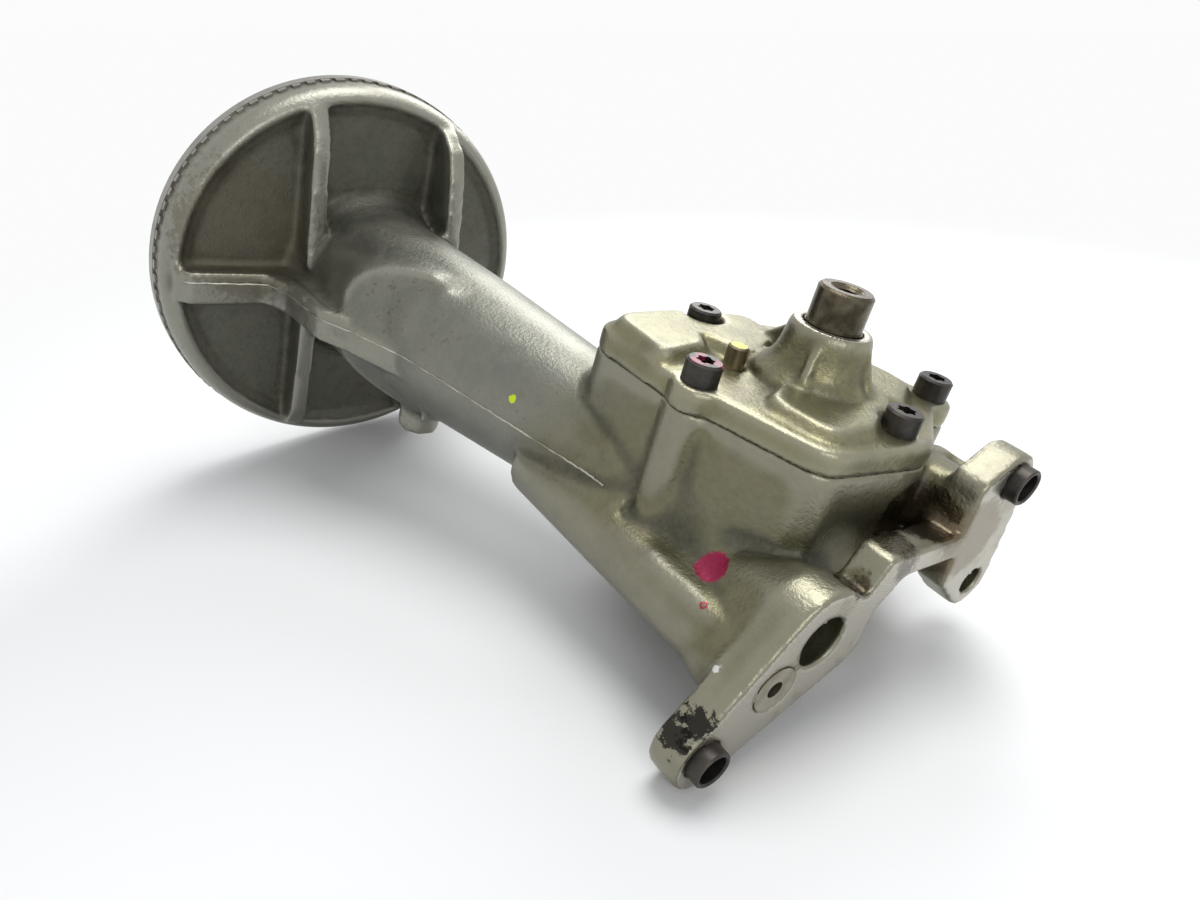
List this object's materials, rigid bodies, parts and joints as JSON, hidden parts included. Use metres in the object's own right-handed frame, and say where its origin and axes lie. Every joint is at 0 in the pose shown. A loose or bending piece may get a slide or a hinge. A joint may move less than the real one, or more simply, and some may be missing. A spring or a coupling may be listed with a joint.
{
  "type": "engine oil pump",
  "caption": "External-gear engine oil pump: cast gear case with cover and drive shaft, long suction neck, round ribbed pickup dome, relief valve and two mounting legs",
  "frame": {"origin": "on the drive-shaft axis, level with the face of the cover boss", "axes": "+Z along the drive shaft out of the cover, +X out of the machined mounting face, +Y completes the right-handed set; the suction neck runs toward -X"},
  "size_m": [0.2454, 0.171, 0.1392],
  "materials": {
    "housing_casting": "satin as-cast aluminium with oil staining",
    "cover_casting": "as-cast aluminium, slightly brassy",
    "shaft_steel": "ground steel",
    "key_steel": "drawn steel",
    "gear_steel": "ground steel",
    "bush_bronze": "bearing bronze",
    "screw_black": "black oxide",
    "pin_steel": "oiled steel with a paint-marked end",
    "valve_steel": "ground steel",
    "plug_steel": "pressed steel plug",
    "strainer_sheet": "stamped sheet steel",
    "strainer_wire": "woven wire screen"
  },
  "bodies": {
    "case": {"pump_housing": "housing_casting", "pump_cover": "cover_casting", "idler_shaft": "gear_steel", "housing_drive_bush": "bush_bronze", "cover_drive_bush": "bush_bronze", "cover_screws": "screw_black", "cover_locating_pins": "pin_steel", "mounting_sleeves": "screw_black", "relief_spring": "valve_steel", "relief_spring_seat": "valve_steel", "relief_plug": "plug_steel", "gallery_plug": "plug_steel", "strainer_cap": "strainer_sheet", "strainer_screen": "strainer_wire", "strainer_spider": "strainer_sheet"},
    "drive": {"drive_shaft": "shaft_steel", "drive_key": "key_steel", "drive_gear": "gear_steel"},
    "idler": {"idler_gear": "gear_steel", "idler_bush": "bush_bronze"},
    "piston": {"relief_piston": "valve_steel"}
  },
  "joints": [
    {"name": "drive_spin", "type": "hinge", "parent": "case", "child": "drive", "pos_m": [0, 0, 0], "axis": [0, 0, 1], "continuous": true},
    {"name": "idler_spin", "type": "hinge", "parent": "case", "child": "idler", "pos_m": [-0.02225, 0.01085, 0], "axis": [0, 0, 1], "continuous": true},
    {"name": "relief_slide", "type": "slide", "parent": "case", "child": "piston", "axis": [1, 0, 0], "range_m": [0, 0.009], "stiffness_N_per_m": 1500, "springref_m": -0.012, "deforming": ["relief_spring"]}
  ],
  "couplings": [
    {"joint": "idler_spin", "follows": "drive_spin", "ratio": -1}
  ]
}
